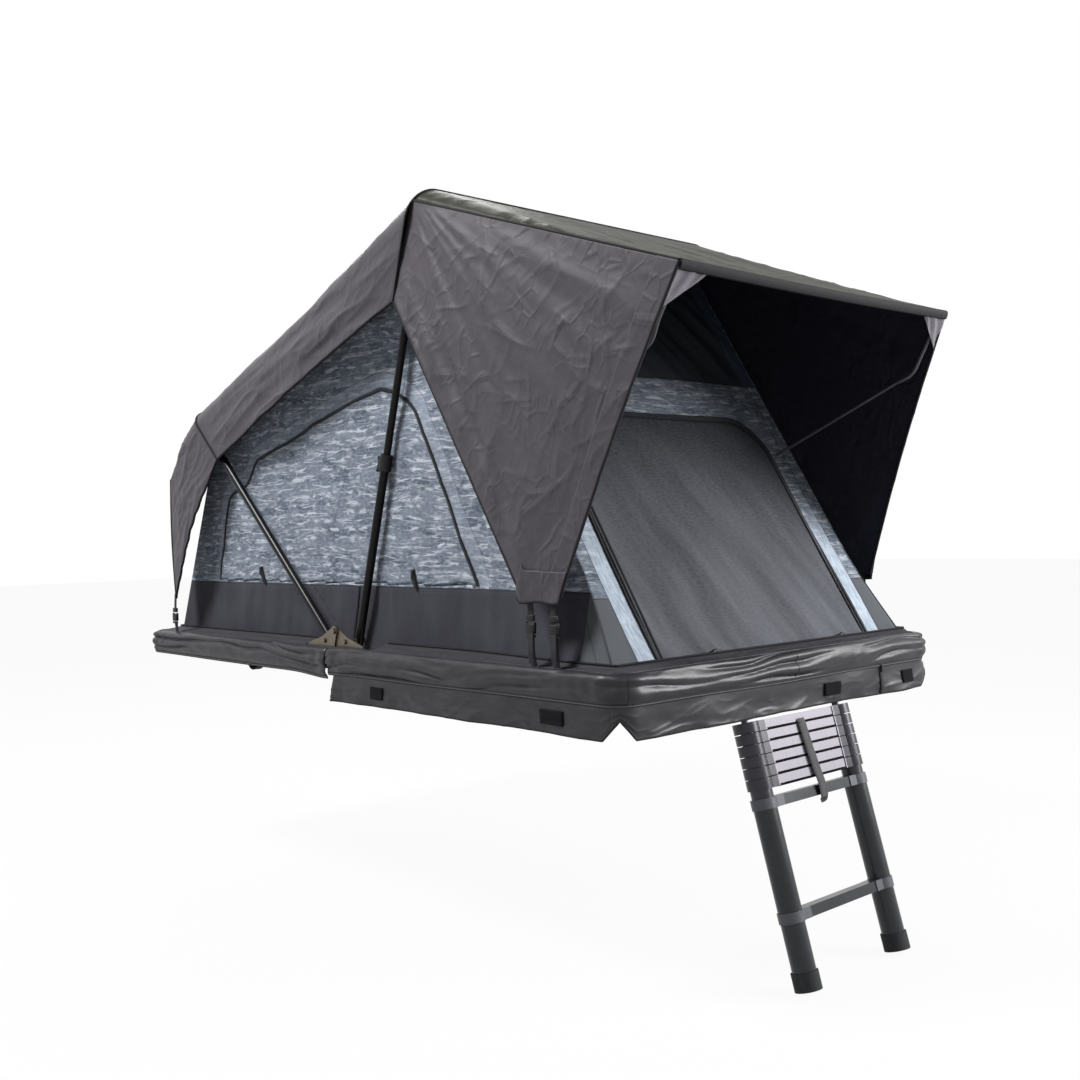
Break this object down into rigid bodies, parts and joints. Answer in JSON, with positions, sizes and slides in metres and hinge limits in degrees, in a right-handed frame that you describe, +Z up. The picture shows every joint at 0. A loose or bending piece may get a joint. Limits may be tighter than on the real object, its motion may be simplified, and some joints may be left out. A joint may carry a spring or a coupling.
{
  "type": "roof top tent",
  "caption": "Fold-out roof top tent on rack rails: hinged base, pivoting fabric bows, camouflage tent body, fly sheet with awning, skirt and telescopic ladder.",
  "frame": {"origin": "middle of the four rack slots, at the undersides of the rack rails", "axes": "+X along the tent towards the fold-out half, +Y across, +Z up"},
  "size_m": [2.5781, 1.3398, 2.0644],
  "materials": {
    "alloy": "mill finish",
    "plated_steel": "yellow zinc plating",
    "black_tube": "black anodised",
    "black_plastic": "moulded",
    "camo_cloth": "woven, printed camouflage",
    "window_cloth": "woven, printed camouflage",
    "mesh": "insect mesh",
    "fly_cloth": "coated nylon",
    "cover_vinyl": "coated vinyl cloth",
    "webbing": "webbing",
    "board": "sealed panel",
    "foam_cover": "woven cover",
    "ladder_alloy": "anodised",
    "ladder_dark": "gun-metal anodised",
    "foot_rubber": "ribbed"
  },
  "bodies": {
    "fixed_base": {"rack_rails": "alloy", "rail_bolts": "plated_steel", "fixed_frame": "alloy", "fixed_crossbars": "alloy", "fixed_floor": "board", "fixed_mattress": "foam_cover", "fixed_band": "cover_vinyl", "fixed_hinge_leaves": "plated_steel", "fixed_leaf_bolts": "plated_steel", "hinge_pins": "plated_steel", "rear_pivot_bolts": "plated_steel", "carry_handle": "webbing", "side_walls": "camo_cloth", "window_panels": "window_cloth", "rear_wall": "camo_cloth", "rear_fly": "fly_cloth", "rear_ties": "webbing"},
    "fold_base": {"fold_frame": "alloy", "fold_crossbars": "alloy", "fold_floor": "board", "fold_mattress": "foam_cover", "fold_band": "cover_vinyl", "skirt": "cover_vinyl", "fold_hinge_leaves": "plated_steel", "fold_leaf_bolts": "plated_steel", "ridge_pivot_bolts": "plated_steel", "door_brackets": "plated_steel", "door_wall": "camo_cloth", "mesh_door": "mesh", "awning_top": "fly_cloth", "awning_sides": "fly_cloth", "front_ties": "webbing", "ladder_brackets": "plated_steel", "ladder_pins": "plated_steel"},
    "rear_bow": {"rear_bow_legs": "black_tube", "rear_bow_corners": "black_plastic", "rear_bow_bar": "black_tube", "roof_panel": "camo_cloth", "roof_fly": "fly_cloth"},
    "ridge_bow": {"ridge_lower_legs": "black_tube", "ridge_clamps": "black_plastic"},
    "ridge_top": {"ridge_upper_legs": "black_tube", "ridge_corners": "black_plastic", "ridge_bar": "black_tube"},
    "near_lever": {"clamp_lever_near": "black_plastic"},
    "far_lever": {"clamp_lever_far": "black_plastic"},
    "door_bow": {"door_bow_legs": "black_tube", "door_bow_corners": "black_plastic", "door_bow_bar": "black_tube"},
    "near_strut": {"strut_near": "black_tube"},
    "far_strut": {"strut_far": "black_tube"},
    "ladder_1": {"ladder_section_1": "ladder_alloy"},
    "ladder_2": {"ladder_section_2": "ladder_alloy"},
    "ladder_3": {"ladder_section_3": "ladder_alloy"},
    "ladder_4": {"ladder_section_4": "ladder_alloy"},
    "ladder_5": {"ladder_section_5": "ladder_alloy"},
    "ladder_6": {"ladder_section_6": "ladder_alloy"},
    "ladder_low": {"ladder_bottom": "ladder_dark", "ladder_collars": "black_plastic", "ladder_feet": "foot_rubber"}
  },
  "joints": [
    {"name": "base_fold", "type": "hinge", "parent": "fixed_base", "child": "fold_base", "pos_m": [0.59, 0, 0.14], "axis": [0, -1, 0], "range_deg": [0, 180], "deforming": ["side_walls", "window_panels", "rear_wall", "rear_fly", "rear_ties", "roof_panel", "roof_fly", "door_wall", "mesh_door", "awning_top", "awning_sides", "front_ties"]},
    {"name": "rear_bow_fold", "type": "hinge", "parent": "fixed_base", "child": "rear_bow", "pos_m": [0.54, 0, 0.11], "axis": [0, -1, 0], "range_deg": [0, 40.58]},
    {"name": "ridge_bow_fold", "type": "hinge", "parent": "fold_base", "child": "ridge_bow", "pos_m": [0.64, 0, 0.11], "axis": [0, 1, 0], "range_deg": [0, 71.5]},
    {"name": "ridge_telescope", "type": "slide", "parent": "ridge_bow", "child": "ridge_top", "axis": [-0.2904, 0, -0.9569], "range_m": [0, 0.23001]},
    {"name": "door_bow_fold", "type": "hinge", "parent": "fold_base", "child": "door_bow", "pos_m": [1.65426, 0, 0.14], "axis": [0, -1, 0], "range_deg": [0, 58.68]},
    {"name": "near_strut_fold", "type": "hinge", "parent": "door_bow", "child": "near_strut", "pos_m": [1.35791, -0.4793, 0.62691], "axis": [0, 1, 0], "range_deg": [0, 84.68]},
    {"name": "far_strut_fold", "type": "hinge", "parent": "door_bow", "child": "far_strut", "pos_m": [1.35791, 0.4793, 0.62691], "axis": [0, 1, 0], "range_deg": [0, 84.68]},
    {"name": "near_lever_turn", "type": "hinge", "parent": "ridge_bow", "child": "near_lever", "pos_m": [0.77714, -0.579, 0.64106], "axis": [0, 1, 0], "range_deg": [0, 110]},
    {"name": "far_lever_turn", "type": "hinge", "parent": "ridge_bow", "child": "far_lever", "pos_m": [0.77714, 0.579, 0.64106], "axis": [0, 1, 0], "range_deg": [0, 110]},
    {"name": "ladder_swing", "type": "hinge", "parent": "fold_base", "child": "ladder_1", "pos_m": [1.75, 0, -0.025], "axis": [0, -1, 0], "range_deg": [0, 75], "deforming": ["skirt"]},
    {"name": "ladder_slide_2", "type": "slide", "parent": "ladder_1", "child": "ladder_2", "axis": [0.2672, 0, -0.9636], "range_m": [0, 0.27]},
    {"name": "ladder_slide_3", "type": "slide", "parent": "ladder_2", "child": "ladder_3", "axis": [0.2672, 0, -0.9636], "range_m": [0, 0.27]},
    {"name": "ladder_slide_4", "type": "slide", "parent": "ladder_3", "child": "ladder_4", "axis": [0.2672, 0, -0.9636], "range_m": [0, 0.27]},
    {"name": "ladder_slide_5", "type": "slide", "parent": "ladder_4", "child": "ladder_5", "axis": [0.2672, 0, -0.9636], "range_m": [0, 0.27]},
    {"name": "ladder_slide_6", "type": "slide", "parent": "ladder_5", "child": "ladder_6", "axis": [0.2672, 0, -0.9636], "range_m": [0, 0.27]},
    {"name": "ladder_slide_low", "type": "slide", "parent": "ladder_6", "child": "ladder_low", "axis": [0.2672, 0, -0.9636], "range_m": [0, 0.27]}
  ],
  "couplings": [
    {"joint": "rear_bow_fold", "follows": "base_fold", "ratio": 0.22539},
    {"joint": "ridge_bow_fold", "follows": "base_fold", "ratio": 0.39715},
    {"joint": "ridge_telescope", "follows": "base_fold", "m_per_rad": 0.073211},
    {"joint": "door_bow_fold", "follows": "base_fold", "ratio": 0.32597},
    {"joint": "near_strut_fold", "follows": "base_fold", "ratio": 0.47041},
    {"joint": "far_strut_fold", "follows": "base_fold", "ratio": 0.47041}
  ]
}
